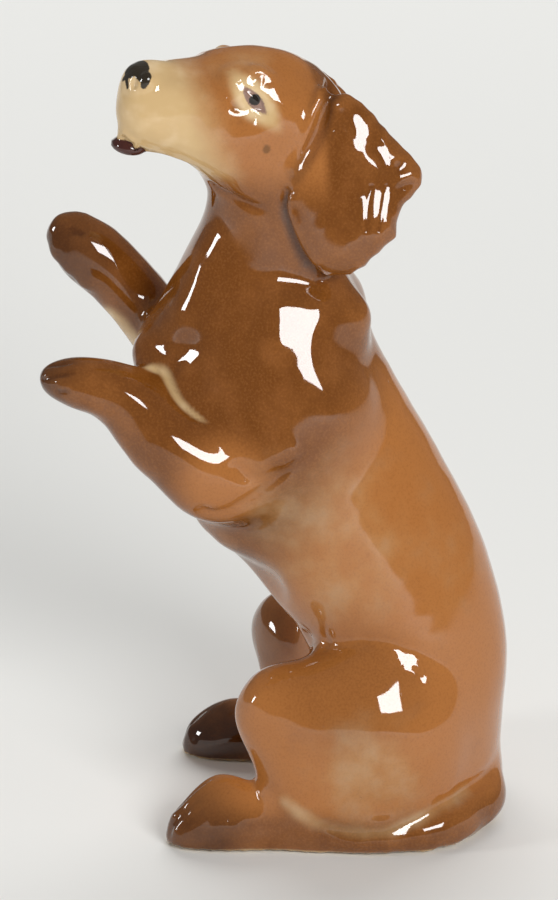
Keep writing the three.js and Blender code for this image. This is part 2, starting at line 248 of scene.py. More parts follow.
class Clay:
    # the dog's skin as points in millimetres, worked with strokes that reach a few millimetres

    def __init__(self, mesh):
        self.mesh = mesh
        self.read()

    def read(self):
        count = len(self.mesh.vertices)
        flat = np.empty(count * 3)
        self.mesh.vertices.foreach_get("co", flat)
        self.points = flat.reshape(-1, 3) / mm + stanceMiddle
        ends = np.empty(len(self.mesh.edges) * 2, int)
        self.mesh.edges.foreach_get("vertices", ends)
        self.ends = ends.reshape(-1, 2)
        self.links = np.bincount(ends, minlength=count)

    def store(self):
        self.mesh.vertices.foreach_set("co", ((self.points - stanceMiddle) * mm).ravel())
        self.mesh.update()

    def look(self):
        # brings the mesh up to date, so that places on it can be found through the camera
        self.store()
        bpy.context.view_layer.update()

    def normals(self):
        self.store()
        flat = np.empty(len(self.points) * 3)
        self.mesh.vertices.foreach_get("normal", flat)
        return flat.reshape(-1, 3)

    def aroundEach(self, values, ends):
        # the sum of a value over the neighbours of each point, along the given edges
        a, b = ends.T
        return np.bincount(a, values[b], len(values)) + np.bincount(b, values[a], len(values))

    def swell(self, places, at, radii, turn, blend):
        # adds a round form, with the join filled over the blend width
        self.join(places, at, radii, turn, blend, 1)

    def hollow(self, places, at, radii, turn, blend):
        # takes a round form out, with the edge rounded over the blend width
        self.join(places, at, radii, turn, blend, -1)

    def join(self, places, at, radii, turn, blend, sign, reach=6.0, halvings=14):
        # halves in on how far each point has to move to reach the form's skin, up to a reach in mm
        for place in places:
            normals = self.normals()
            near = np.flatnonzero(fromBall(seenFrom(self.points, place), at, radii, turn) < blend)
            low, high = np.zeros(len(near)), np.full(len(near), reach)
            for _ in range(halvings):
                middle = (low + high) / 2
                moved = self.points[near] + sign * normals[near] * middle[:, None]
                depth = fromBall(seenFrom(moved, place), at, radii, turn)
                fillet = np.maximum(blend - np.abs(middle - depth), 0) / blend
                further = np.minimum(middle, depth) - fillet * fillet * blend / 4 < 0
                low = np.where(further, middle, low)
                high = np.where(further, high, middle)
            self.points[near] += sign * normals[near] * low[:, None]

    def groove(self, places, points, width, depth, ends=(0.15, 0.15)):
        # presses a soft furrow along a line, or raises a ridge where the depth is negative; the ends are the
        # shares of the line over which it fades in and out
        line = curveThrough(points)
        for place in places:
            local = seenFrom(self.points, place)
            near = closeBy(local, line, 3 * width)
            distance, along, _ = fromLine(local[near], line)
            taper = smoothStep(along, 0, ends[0]) * smoothStep(1 - along, 0, ends[1])
            press = depth * np.exp(-(distance / width) ** 2) * taper
            self.points[near] -= self.normals()[near] * press[:, None]

    def face(self, places, points, width, facing, flat, spread=1.7, rounds=3):
        # flattens the clay along a line, and leans it over a wider reach to face an azimuth and elevation, or
        # to mirror a soft box to the camera
        line = curveThrough(points)
        middle = line[len(line) // 2]
        reach = spread * width
        isSpot = np.linalg.norm(line[-1] - line[0]) < 3 * width
        for place in places:
            target = facingTowards(facing, turnedBack(middle + rootOf(place), place))
            local = seenFrom(self.points, place)
            near = closeBy(local, line, 2 * reach)
            distance, _, foot = fromLine(local[near], line)
            core = np.exp(-(distance / width) ** 4)
            wide = np.exp(-(distance / reach) ** 2)
            for step in range(rounds):
                mean = (self.normals()[near] * core[:, None]).sum(0)
                mean /= np.linalg.norm(mean)
                offset = turnedBack(local[near] - (middle if isSpot else foot), place)
                if step == 0:
                    level = (offset @ mean * core).sum() / core.sum()
                    self.points[near] -= mean * ((offset @ mean - level) * core * flat)[:, None]
                else:
                    slope = target - mean / (mean @ target)
                    self.points[near] -= target * ((offset @ slope) * wide)[:, None]

    def pull(self, places, spots, radius, move):
        # drags the clay round a spot, or round each of several
        for spot in np.atleast_2d(spots):
            for place in places:
                distance = np.linalg.norm(seenFrom(self.points, place) - spot, axis=1) / radius
                weight = np.where(distance < 1, (1 - distance ** 2) ** 2, 0)
                self.points += weight[:, None] * turnedBack(move, place)

    def relax(self, places, spots, radius, rounds, giveBack=0.52):
        # evens out the clay round each spot, and its wider waves too where nothing is given back
        for spot in np.atleast_2d(spots):
            for place in places:
                distance = np.linalg.norm(seenFrom(self.points, place) - spot, axis=1) / radius
                self.even(np.where(distance < 1, (1 - distance ** 2), 0), rounds, giveBack)

    def even(self, weight, rounds, giveBack=0.52, draw=0.5):
        # each round draws points to the middle of their neighbours and back again, which keeps the volume
        inside = np.flatnonzero(weight > 0)
        edges = self.ends[(weight[self.ends] > 0).any(1)]
        for share in ((draw, -giveBack) if giveBack else (draw,)) * rounds:
            sums = np.stack([self.aroundEach(axis, edges)[inside] for axis in self.points.T], 1)
            middles = sums / self.links[inside, None]
            self.points[inside] += (weight[inside] * share)[:, None] * (middles - self.points[inside])


picture = {"width": 558, "height": 900}


def seen(place, *pixels):
    # the places on the clay that lie under the photograph's pixels, as the camera sees them
    focal = view["lens"] / view["frameHeight"] * picture["height"]
    found = []
    for u, v in pixels:
        ray = Vector(((u - picture["width"] / 2) / focal, (picture["height"] / 2 - v) / focal, -1))
        hit, spot, _, _ = dog.ray_cast(camera.matrix_world.translation, camera.matrix_world.to_3x3() @ ray)
        if hit:
            found.append(np.array(spot) / mm + stanceMiddle)
        else:
            print("no clay under", u, v)
    return seenFrom(np.array(found), place)


def find(place, where):
    # a spot or a line, given in mm or as the photograph's pixels
    isSpot = np.ndim(where) == 1
    points = [where] if isSpot else where
    if len(points[0]) == 2:
        points = seen(place, *points)
    return np.array(points[0] if isSpot else points, float)


def work(strokes):
    # each stroke is its kind, the places that it is made on, the spot or line, and then its sizes in mm
    clay.look()
    for kind, places, where, *sizes in strokes.values():
        getattr(clay, kind)(places, find(places[0], where), *sizes)


border = {"from": 0.7, "to": 1.15, "rounds": 3}  # shares of the radius of a refined spot


def refine(place, at, radius):
    # splits the faces round a spot in four, where small forms need more clay, and evens out the border
    distance = np.linalg.norm(seenFrom(clay.points, place) - np.array(at), axis=1)
    inside = distance < radius
    only(dog)
    bpy.ops.object.mode_set(mode="EDIT")
    bpy.ops.mesh.select_mode(type="FACE")
    bpy.ops.mesh.select_all(action="DESELECT")
    bpy.ops.object.mode_set(mode="OBJECT")
    for face in dog.data.polygons:
        face.select = all(inside[v] for v in face.vertices)
    bpy.ops.object.mode_set(mode="EDIT")
    bpy.ops.mesh.subdivide(number_cuts=1)
    bpy.ops.object.mode_set(mode="OBJECT")
    clay.read()
    distance = np.linalg.norm(seenFrom(clay.points, place) - np.array(at), axis=1)
    weight = 1 - smoothStep(distance, radius * border["from"], radius * border["to"])
    clay.even(weight, border["rounds"])


dog = smoothCopy(bodyMesh)
clay = Clay(dog.data)
fineSpots = {
    # place, middle and radius in mm
    "left eye": ("head", (12, -11.2, 169.4), 6.8),
    "right eye": ("headRight", (12, -11.2, 169.4), 6.8),
    "left eye's rim": ("head", (12, -11.2, 169.2), 5.0),
    "nose": ("head", (1.5, -33.5, 171.5), 6.0),
    "left forepaw": ("body", (20, -67, 106), 6.5),
    "right forepaw": ("body", (-15, -69, 124), 6.5),
    "left ear": ("earLeft", (20, 6, -19), 18.5),
}
for fineSpot in fineSpots.values():
    refine(*fineSpot)
print("clay copied,", len(dog.data.polygons), "faces")

wholeBody = ("body",)
bothSides = ("body", "bodyRight")
wholeHead = ("head",)
rightHead = ("headRight",)
heads = ("head", "headRight")
ears = ("earLeft", "earRight")
leftEar = ("earLeft",)
straight = (0, 0, 0)

# Head: it tapers evenly to the nose, with upright sides
headTaper = {
    "widening": {"cheek": (8, 18, 0.05), "snout": (18, 34, -0.2)},  # from and to in mm before the neck, share
    "above": (146, 154),  # mm, the heights over which the widening sets in
    "bendOver": (18, 36),  # mm before the neck
    "bend": (1.2, -0.4, 0.5),  # mm at the tip
}
local = seenFrom(clay.points, "head")
widening = 0
for near, far, share in headTaper["widening"].values():
    widening = widening + smoothStep(-local[:, 1], near, far) * share
sideways = local[:, 0] * widening * smoothStep(local[:, 2], *headTaper["above"])
bend = smoothStep(-local[:, 1], *headTaper["bendOver"])[:, None] * headTaper["bend"]
clay.points += turnedBack(np.outer(sideways, (1, 0, 0)) + bend, "head")
work({
    "muzzle's end": ("swell", heads, (3.4, -31.4, 166.8), (3.3, 4.7, 6.4), straight, 2.0),
    "lips": ("swell", heads, (4.6, -25.0, 167.5), (4.8, 9.0, 5.6), straight, 3.0),
})
work({
    "temple": ("pull", heads, (10.5, -4, 166), 12, (0.9, 0, 0)),
    "jaw's corner": ("pull", heads, (262, 154), 12, (-1.3, 0, 0)),
    "muzzle's root": ("pull", heads, (211, 102), 9, (0.75, 0, 0)),
    "muzzle's middle": ("pull", heads, (192, 104), 8, (-0.35, 0, 0)),
    "crown": ("pull", wholeHead, (283, 60), 8, (0, 0.9, 0.5)),
    "muzzle's tip": ("pull", wholeHead, (158, 98), 8, (-0.5, 0, 0)),
})

# Eye: brows, a slanting almond in a raised ring, and the swelling of the cheek below it
eye = {
    "at": (12.4, -11.2, 169.0),
    "slant": -53,  # degrees
    "outwards": 0.15,  # how far its slanting axis leads out from the face
    "reach": 4,  # mm into the head that its colours go
    "iris": (3.7, 1.45),  # mm, half the almond's length and height
    "halo": (4.3, 2.0),
    "pupilAt": (12.4, -11.1, 169.1),
    "pupil": (3, 1.25, 1.25),
    "roundness": 1.6,  # 1 is a rhomb, 2 an ellipse
}
slantY, slantZ = math.cos(math.radians(eye["slant"])), math.sin(math.radians(eye["slant"]))
slanting = (eye["slant"], 0, 0)
browTurn = (-12, 0, 0)


def onEye(along, across, out):
    # a place beside the eye: along its slant, across it upwards and back, and out from the face
    x, y, z = eye["at"]
    y, z = y + along * slantY - across * slantZ, z + along * slantZ + across * slantY
    return (x + out + along * eye["outwards"], y, z)


work({
    "left brow": ("swell", wholeHead, (7.6, -12.8, 172.4), (3.3, 4.8, 2.5), browTurn, 1.8),
    "right brow": ("swell", rightHead, (7.6, -14.2, 170.9), (2.8, 3.8, 2.0), browTurn, 1.8),
    "right of the crown": ("pull", rightHead, (10.4, -10.4, 175.6), 8, (-0.4, 0, -1.6)),
    "over the left eye": ("swell", wholeHead, onEye(0.2, 3.6, -2.7), (3.2, 5.4, 3.2), slanting, 1.8),
    "over the right eye": ("swell", rightHead, onEye(0.2, 1.7, -3.0), (2.6, 5.0, 2.6), slanting, 1.8),
    "under the eyes": ("swell", heads, onEye(0.2, -2.6, -1.9), (1.8, 3.2, 1.4), slanting, 1.2),
})
work({
    "before the cheek": ("pull", heads, (222, 121), 6, (-0.5, 0, 0)),
    "behind the eye": ("relax", wholeHead, (266, 86), 5, 12),
    "socket": ("hollow", heads, onEye(0, 0, 1.3), (1.9, 4.0, 1.5), slanting, 0.5),
    "eyeball": ("swell", heads, onEye(0, 0, -2.3), (2.5, 3.6, 1.6), slanting, 0.3),
})

# Muzzle: the nose pad with its wings, the lip's edge over a recessed jaw, and the tongue's tip
noseShift = 2.2  # the nose sits a little to the left of the muzzle's middle
work({
    "nose pad": ("swell", wholeHead, (noseShift, -32.9, 172.5), (4.9, 3.4, 2.7), (20, 0, 0), 1.2),
    "nose tip": ("pull", wholeHead, (noseShift, -36.0, 173.2), 4.5, (0, 0.5, 0.9)),
})
clay.look()
noseWing = seen("head", (146, 80))[0] - (0.6, -0.4, 0.4)
nostril = seen("head", (134, 82))[0] + (0.2, -0.4, 0)
lipEdge = seen("head", (121, 131), (126, 138), (134, 144), (146, 149), (165, 155), (185, 163), (203, 171))
tongue = {"at": (0.4, -35.6, 157.4), "half": (4.0, 3.9, 1.9), "turn": (-12, 0, 0)}
work({
    "wing": ("swell", wholeHead, noseWing, (1.5, 1.6, 1.9), straight, 0.8),
    "nostril": ("hollow", wholeHead, nostril, (1.0, 0.9, 1.6), straight, 0.6),
    "chin": ("pull", wholeHead, (0, -25, 151), 10, (0, 0, 1.8)),
    "under the lip": ("groove", wholeHead, lipEdge - (0, 0, 1.1), 1.0, 1.0, (0.02, 0.2)),
    "lip": ("groove", wholeHead, lipEdge + (0, 0, 0.7), 0.9, -0.35, (0.1, 0.2)),
    "tongue": ("swell", wholeHead, tongue["at"], tongue["half"], tongue["turn"], 0.3),
})

# Ears: the flap flares out at the bottom
work({"flare": ("pull", ears, (5.5, 9, -40), 19, (2.6, 0, 0))})
work({
    "back edge": ("pull", ears, ((356, 103), (371, 116), (389, 137), (403, 155)), 7, (-0.9, 0, 0)),
    "tip": ("pull", ears, (412, 176), 20, (2.4, -0.5, 0)),
    "under the tip": ("pull", ears, (391, 222), 10, (0.9, -0.3, 0)),
    "lower edge": ("pull", ears, (376, 244), 12, (1.0, 0.1, 0)),
    "notch": ("pull", ears, (398, 205), 8, (0, -1.0, 0)),
})
work({
    "rim": ("relax", ears, ((400, 205), (386, 236), (364, 262)), 10, 36, 0),
    "root": ("relax", wholeHead, (334, 84), 6, 24, 0),
})

# Ears: rolled edges, a deep furrow behind the front edge, and folds that run to the bent tip
earLines = {
    "front roll": ((323, 86), (319, 98), (315, 110), (311, 124), (306, 139), (299, 154), (292, 168),
                   (287, 182)),
    "furrow": ((335, 86), (332, 97), (328, 110), (322, 127), (314, 144), (305, 160), (296, 176)),
    "second roll": ((341, 92), (337, 103), (331, 115), (325, 127), (319, 138)),
    "fold to the tip": ((416, 181), (407, 185), (400, 192), (396, 202)),
    "first pleat": ((372, 184), (368, 208), (367, 234)),
    "second pleat": ((387, 184), (383, 208), (378, 234)),
    "under the edge": ((289, 184), (284.5, 197), (284.5, 210), (289.5, 227), (297, 246), (306, 261),
                       (317, 273), (330, 279.5)),
    "lower roll": ((293, 192), (290.5, 205), (296, 224), (303.5, 242), (312, 256), (322, 266)),
}
clay.look()
furrow = seen("earLeft", *earLines["furrow"])
secondRoll = seen("earLeft", *earLines["second roll"])
work({
    "front roll": ("groove", ears, earLines["front roll"], 1.3, -0.75, (0.05, 0.2)),
    "furrow": ("groove", ears, furrow, 1.9, 1.9, (0.02, 0.3)),
    "second roll": ("groove", ears, secondRoll, 1.4, -0.8, (0.2, 0.4)),
    "fold to the tip": ("groove", ears, earLines["fold to the tip"], 1.5, 0.7, (0.1, 0.5)),
    "first pleat": ("groove", ears, earLines["first pleat"], 0.6, 0.17, (0.02, 0.05)),
    "second pleat": ("groove", ears, earLines["second pleat"], 0.6, 0.17, (0.02, 0.05)),
    "under the edge": ("groove", ears, earLines["under the edge"], 1.1, 1.5, (0.1, 0.15)),
    "lower roll": ("groove", ears, earLines["lower roll"], 1.2, -0.7, (0.1, 0.1)),
})

# Throat: the jaw's edge stands over the neck
jawEdge = ((208, 180), (216, 188), (229, 195), (245, 203), (262, 208), (278, 207))
work({"jaw's edge": ("groove", wholeBody, jawEdge, 1.2, 0.8, (0.1, 0.4))})

# Breast, back and belly
neckEdge = ((204, 238), (197, 260), (189, 283), (180, 305), (170, 327))
backEdge = ((463, 520), (480, 570), (490, 620), (440, 460), (492, 670), (410, 420), (385, 385))
forelegEdge = ((134, 451), (156, 474), (183, 500), (217, 524))
shoulder = ((246, 336), (275, 341), (308, 346), (346, 351))
work({
    "breast": ("relax", wholeBody, (186, 370), 10, 16),
    "neck's front": ("pull", wholeBody, (190, 288), 15, (1.2, 0, 0)),
    "neck's edge": ("pull", wholeBody, neckEdge, 9, (0.8, 0, 0)),
    "shoulder's front": ("pull", wholeBody, (228, 402), 11, (1.2, 0, 0)),
    "shoulder": ("groove", wholeBody, shoulder, 12, -1.2, (0.35, 0.35)),
    "upper foreleg": ("pull", wholeBody, (196, 444), 14, (1.3, 0, 0)),
    "tail": ("pull", wholeBody, (368, 838), 10, (1.2, 0, 0)),
    "behind the thigh": ("pull", wholeBody, (425, 690), 12, (-0.8, 0, 0)),
    "thigh": ("pull", wholeBody, (388, 730), 16, (0.9, 0, 0)),
    "heel": ("pull", wholeBody, (256, 800), 7, (0.8, 0, 0)),
    "knee's top": ("pull", wholeBody, (278, 640), 6, (0.7, 0, 0)),
    "nape": ("pull", wholeBody, (352, 300), 9, (0, 1.4, 0)),
    "withers": ("pull", wholeBody, (362, 325), 9, (0, 1.5, 0)),
    "tail's root": ("pull", wholeBody, (498, 800), 10, (0, 1.5, 0)),
    "back's edge": ("pull", wholeBody, backEdge, 16, (0, 0.45, 0)),
    "foreleg's edge": ("pull", wholeBody, forelegEdge, 9, (0, -1.2, -0.2)),
    "lower belly": ("pull", wholeBody, (257, 575), 11, (0, 3.3, 0)),
    "elbow": ("pull", wholeBody, (216, 526), 12, (0, -1.8, 0)),
    "behind the elbow": ("pull", wholeBody, (244, 550), 9, (0, -2.0, 0)),
    "loin": ("pull", wholeBody, (499, 640), 18, (0, 0.7, 0)),
    "breast's point": ("pull", wholeBody, (142, 350), 7, (0, -1.6, 0)),
})

# Raised forelegs: the folds at the breast and the elbow, and the near paw's toes
armLines = {
    "fold": ((150, 368), (163, 371), (171, 385), (178, 398), (189, 410), (203, 420), (217, 425)),
    "over the fold": ((170, 362), (182, 377), (192, 391), (204, 403), (220, 412)),
    "elbow crease": ((196, 507), (208, 514), (222, 515), (240, 507), (262, 492), (290, 470), (315, 452),
                     (340, 440)),
    "elbow hollow": ((228, 460), (240, 472), (253, 480), (268, 476), (285, 466)),
    "elbow ridge": ((255, 470), (275, 458), (300, 445)),
    "upper toe": ((48, 366), (60, 364), (80, 362)),
    "middle toe": ((41, 380), (52, 377), (66, 374), (84, 372)),
    "lower toe": ((56, 392), (72, 392)),
}
clay.look()
armFold = seen("body", *armLines["fold"])
work({
    "fold": ("groove", wholeBody, armFold, 1.2, 0.7, (0.1, 0.3)),
    "over the fold": ("groove", wholeBody, armLines["over the fold"], 2.6, -0.7, (0.3, 0.3)),
    "elbow crease": ("groove", wholeBody, armLines["elbow crease"], 1.5, 1.5, (0.1, 0.45)),
    "elbow hollow": ("groove", wholeBody, armLines["elbow hollow"], 1.8, 0.8),
    "elbow ridge": ("groove", wholeBody, armLines["elbow ridge"], 2.4, -0.5),
    "wrist": ("pull", wholeBody, (100, 400), 6, (0, 0, -0.8)),
    "upper toe": ("groove", wholeBody, armLines["upper toe"], 0.7, 0.45, (0.05, 0.4)),
    "middle toe": ("groove", wholeBody, armLines["middle toe"], 0.7, 0.45, (0.05, 0.4)),
    "lower toe": ("groove", wholeBody, armLines["lower toe"], 0.7, 0.45, (0.05, 0.4)),
})

# the far paw is seen from inside: a thumb-like toe on top, and the pads' scallops below
work({
    "thumb": ("groove", wholeBody, ((64, 232), (72, 230), (79, 232), (86, 238)), 1.0, 0.5, (0.4, 0.3)),
    "pads": ("pull", wholeBody, ((58, 252), (71, 266), (87, 281)), 4, (0, -0.8, -0.8)),
})

# Hind feet: higher insteps, toes with furrows between them
feet = {"body": 25.5, "bodyRight": 20.3}  # mm from the middle, on each side
toeSpread = {
    # mm from the foot's middle line, and how it widens to the front: y, z and the widening
    "across": (-3.9, 0, 3.9),
    "over": ((-30.5, 15.5, 1.0), (-36, 14.6, 1.0), (-40, 11.6, 1.1), (-43.4, 7.6, 1.15), (-45.4, 2.5, 1.15)),
}
work({"instep": ("pull", wholeBody, (24.5, -33.5, 13.0), 11, (0, 0, 2.8))})
for side, middle in feet.items():
    for across in toeSpread["across"]:
        toeLine = [(middle + across * widening, y, z) for y, z, widening in toeSpread["over"]]
        clay.groove((side,), toeLine, 1.0, 0.9, ends=(0.4, 0.02))

# Haunches: the knee stands further forward, and a crease parts the thigh from the tail and the belly
tailCrease = [
    (4.0, 28.0, 12.0), (12.0, 25.4, 11.6), (19.2, 21.0, 11.0), (26.2, 14.7, 9.8), (29.4, 9.0, 7.8),
    (31.4, 2.0, 6.0), (32.4, -6.0, 6.4), (33.0, -12.0, 8.6), (32.2, -18.4, 13.2),
]
thighTop = [
    (8.5, -17.5, 43.0), (14.0, -14.5, 43.6), (18.4, -12.0, 45.0), (22.4, -6.3, 46.8), (23.6, -0.8, 47.8),
    (24.0, 5.0, 47.0), (24.0, 10.4, 44.2), (24.2, 14.2, 39.6), (24.6, 17.0, 34.0),
]
work({
    "knee": ("pull", bothSides, (24.5, -25.5, 29), 10, (0, -2.0, 0.4)),
    "tail crease": ("groove", wholeBody, tailCrease, 1.7, 1.2, (0.15, 0.3)),
    "thigh's top": ("groove", bothSides, thighTop, 2.0, 0.9, (0.1, 0.5)),
})

# Cast by hand: the whole skin wanders a little
wander = {"size": 13.0, "height": 0.1}  # mm
normals = clay.normals()
uneven = np.array([noise.noise(Vector(p / wander["size"])) for p in clay.points])
clay.points += normals * (uneven * wander["height"])[:, None]
clay.even(np.ones(len(clay.points)), 2)

# Facets that catch the soft boxes, or turn away from them, where the picture shows it. Each has a line, its
# half width in mm, the box that it mirrors or the azimuth and elevation that it faces, and its flatness.
frontRollFacet = ((320, 90), (316, 108), (311, 124), (307, 136))
work({
    "brow": ("face", wholeHead, ((257, 77), (263, 73), (268, 78)), 0.9, "rightBox", 0.3),
    "behind the eye": ("face", wholeHead, ((268, 86), (275, 97)), 1.7, "rightBox", 0.5),
    "under the eye": ("face", wholeHead, ((237, 111), (245, 113)), 0.9, "rightBox", 0.3),
    "eye's inner corner": ("face", wholeHead, ((239, 83), (241, 90)), 0.7, "rightBox", 0.3),
    "ear's front roll": ("face", leftEar, frontRollFacet, 0.7, "rightBox", 0.2),
    "ear's second roll": ("face", leftEar, ((340, 104), (336, 116), (330, 127)), 1.0, "rightBox", 0.4),
    "ear's top": ("face", leftEar, ((357, 119), (362, 126), (365, 137)), 1.2, "rightBox", 0.2),
    "ear's back": ("face", leftEar, ((381, 147), (391, 157)), 1.2, "rightBox", 0.3),
    "ear's tip": ("face", leftEar, ((403, 170), (407, 176)), 1.0, "rightBox", 0.3),
    "under the ear": ("face", wholeBody, ((276, 289), (295, 289), (318, 290)), 3.0, (111, 36), 0),
    "breast": ("face", wholeBody, ((192, 351), (185, 365)), 1.8, "leftBox", 0.2),
    "near foot's upper toe": ("face", wholeBody, ((177, 818), (186, 806), (198, 793)), 0.8, "leftBox", 0.2),
    "near foot's lower toe": ("face", wholeBody, ((185, 830), (194, 822), (203, 813)), 0.7, "leftBox", 0.2),
    "far foot": ("face", wholeBody, ((198, 736), (207, 728), (217, 720)), 0.9, "leftBox", 0.2),
    "behind the thigh": ("face", wholeBody, ((409, 664), (424, 678)), 1.2, "rightBox", 0.3),
    "tail": ("face", wholeBody, ((377, 838), (405, 829), (433, 817)), 1.3, "rightBox", 0.2),
    "eye's surround": ("relax", wholeHead, (264, 84), 5, 8),
    "eye's lower rim": ("relax", wholeHead, (244, 112), 4, 8),
})
clay.points[:, 2] = np.maximum(clay.points[:, 2], 0)

clay.store()
print("clay worked,", sum(len(face.vertices) - 2 for face in dog.data.polygons), "triangles")

# The sprayed and brushed colours, with painted reflection of the pale paper and painted shade among them,
# kept on the skin as soft densities and as distances to crisp edges in mm
rightForeleg = [(-13.8, -59.0, 107.7), (-12.5, -54.9, 103.6), (-10.0, -50.1, 101.0)]
spray = {
    # each spot or line: density, place, where it is, and the distances in mm of full colour and of none
    "creamAndSheen": {
        # thigh, belly, back and forehead: painted reflection of the pale paper in the glaze, partly over
        # cream spray
        "thigh": (0.3, "body", (372, 778), 3, 22),
        "belly": (0.25, "body", (318, 545), 10, 34),
        "back": (0.14, "body", (425, 560), 6, 30),
        "forehead": (0.3, "head", (240, 62), 3, 12),
        "right foreleg": (0.7, "body", rightForeleg, 1.5, 6.0),
        "thigh's lower edge": (0.35, "body", tailCrease[2:], 0.2, 3.4),
    },
    # elbow: paler brown on the arm's underside, painted reflection of the pale floor in the glaze
    "thinAndSheen": {"elbow": (0.8, "body", (225, 488), 5, 15)},
    # the upper thigh keeps the deeper brown, where its glaze mirrors the dark room rather than the pale paper
    "lessThinAndSheenOnThigh": {"thigh": (0.4, "body", (345, 688), 8, 22)},
    "dark": {
        "left forepaw": (0.8, "body", (18, -71, 106.5), 2.5, 13),
        "right forepaw": (0.6, "body", (-16, -70, 123.5), 6, 17),
        # right hind foot and right knee, on the far side: partly sprayed darker, partly painted shade
        "right hind foot": (0.9, "body", (-17, -42, 5), 9, 19),
        "left hind foot": (0.6, "body", (29, -42, 4), 8, 20),
        "right knee": (0.6, "body", (-16, -27, 33), 7, 14),
        # the ears' furrows: painted shade in the deep crease behind the front roll
        "left ear's furrow": (0.35, "earLeft", furrow, 0.8, 2.6),
        "right ear's furrow": (0.35, "earRight", furrow, 0.8, 2.6),
    },
}
bands = {
    # where the colour fades in over heights and depths in mm
    "muzzle": {"depths": (13, 29), "slope": 0.3, "level": 165, "heights": (147, 153)},
    "halo": {"density": 0.95, "edge": (-0.2, 2.4)},
    "fold": {"density": 0.8, "sharp": 0.1, "width": 2.7, "narrowing": 1.7, "fades": (0.75, 1)},
    "baseRim": {"density": 0.9, "heights": (0.4, 1.5)},
    "thinHead": {"density": 0.8, "heights": (143, 156), "depths": (2, 5)},
    # paler brown towards the back of the flank: partly thinner spray, partly painted reflection of the pale
    # paper
    "thinAndSheenOnFlank": {
        "density": 0.85,
        "depths": (-16, 6),
        "slope": 0.5,
        "level": 95,
        "top": (105, 128),
        "foot": (5, 13),
    },
}
paint = {}
farOff = 99.0  # mm, more than any edge of colour reaches
here = clay.points
headPoints = seenFrom(here, "head")


def sprayed(spots):
    # the densest of several spots and lines, at each point of the skin
    densest = np.zeros(len(here))
    for density, place, where, full, none in spots.values():
        local, target = seenFrom(here, place), find(place, where)
        if target.ndim == 1:
            distance = np.linalg.norm(local - target, axis=1)
        else:
            distance = fromLine(local, curveThrough(target))[0]
        densest = np.maximum(densest, density * (1 - smoothStep(distance, full, none)))
    return densest


def eyeDistance(along, across):
    # distance in mm to an almond edge round each eye, negative inside
    nearest = np.full(len(here), farOff)
    for place in heads:
        offset = seenFrom(here, place) - np.array(eye["at"])
        a = np.abs(offset[:, 1] * slantY + offset[:, 2] * slantZ) / along
        b = np.abs(-offset[:, 1] * slantZ + offset[:, 2] * slantY) / across
        almond = (np.sqrt(a ** eye["roundness"] + b ** eye["roundness"] + 1e-6) - 1) * across
        nearest = np.where(np.abs(offset[:, 0]) < eye["reach"], np.minimum(nearest, almond), nearest)
    return nearest


band = bands["muzzle"]
muzzle = smoothStep(-headPoints[:, 1] - band["slope"] * (headPoints[:, 2] - band["level"]), *band["depths"])
muzzle = muzzle * smoothStep(headPoints[:, 2], *band["heights"])
band = bands["halo"]
halo = band["density"] * (1 - smoothStep(eyeDistance(*eye["halo"]), *band["edge"]))
band = bands["fold"]
distance, along, _ = fromLine(here, curveThrough(armFold))
fold = band["density"] * (1 - smoothStep(distance, band["sharp"], band["width"] - band["narrowing"] * along))
fold = fold * (1 - smoothStep(along, *band["fades"]))
band = bands["baseRim"]
baseRim = band["density"] * (1 - smoothStep(here[:, 2], *band["heights"]))
paint["creamAndSheen"] = np.max([muzzle, halo, fold, baseRim, sprayed(spray["creamAndSheen"])], axis=0)

band = bands["thinHead"]
onHead = band["density"] * smoothStep(here[:, 2], *band["heights"])
onHead = onHead * (1 - smoothStep(headPoints[:, 1], *band["depths"]))
band = bands["thinAndSheenOnFlank"]
depth = here[:, 1] + band["slope"] * (band["level"] - here[:, 2])
flank = band["density"] * smoothStep(depth, *band["depths"])
flank = flank * (1 - smoothStep(here[:, 2], *band["top"])) * smoothStep(here[:, 2], *band["foot"])
flank = flank * (1 - sprayed(spray["lessThinAndSheenOnThigh"]))
paint["thinAndSheen"] = np.max([onHead, flank, sprayed(spray["thinAndSheen"])], axis=0)
paint["dark"] = sprayed(spray["dark"])

# the nose is brushed on: over the top to a wing on each side, and a line down the middle
noseStrokes = {
    # pixels along the stroke, and the brush's radius in mm at its start and end
    "over the top": (((128, 69), (133, 68), (139, 71), (144, 76)), 1.2, 1.6),
    "wing": (((144, 76), (145, 81), (143.5, 86)), 1.5, 0.7),
    "middle line": (((128, 69), (127, 77), (127.5, 87)), 1.0, 0.45),
}
noseTop = {"at": (noseShift, -33.8, 175.2), "half": (4.2, 2.3, 1.6), "turn": (20, 0, 0)}
freckle = {"at": (15.0, -9.0, 158.3), "half": (2.5, 0.9, 1.2)}
tongueMargin = 0.35  # mm, past the tongue's own form


def folded(points):
    # lays the right half of the nose over the left
    return np.stack([noseShift + np.abs(points[:, 0] - noseShift), points[:, 1], points[:, 2]], 1)


clay.look()
paint["nose"] = fromBall(headPoints, noseTop["at"], noseTop["half"], noseTop["turn"])
for pixels, start, end in noseStrokes.values():
    distance, along, _ = fromLine(folded(headPoints), curveThrough(folded(seen("head", *pixels))))
    paint["nose"] = np.minimum(paint["nose"], distance - (start + (end - start) * along))
paint["tongue"] = fromBall(headPoints, tongue["at"], np.array(tongue["half"]) + tongueMargin, tongue["turn"])
paint["pupil"] = np.minimum(*[fromBall(seenFrom(here, side), eye["pupilAt"], eye["pupil"]) for side in heads])
paint["iris"] = eyeDistance(*eye["iris"])
paint["freckle"] = fromBall(headPoints, freckle["at"], freckle["half"])

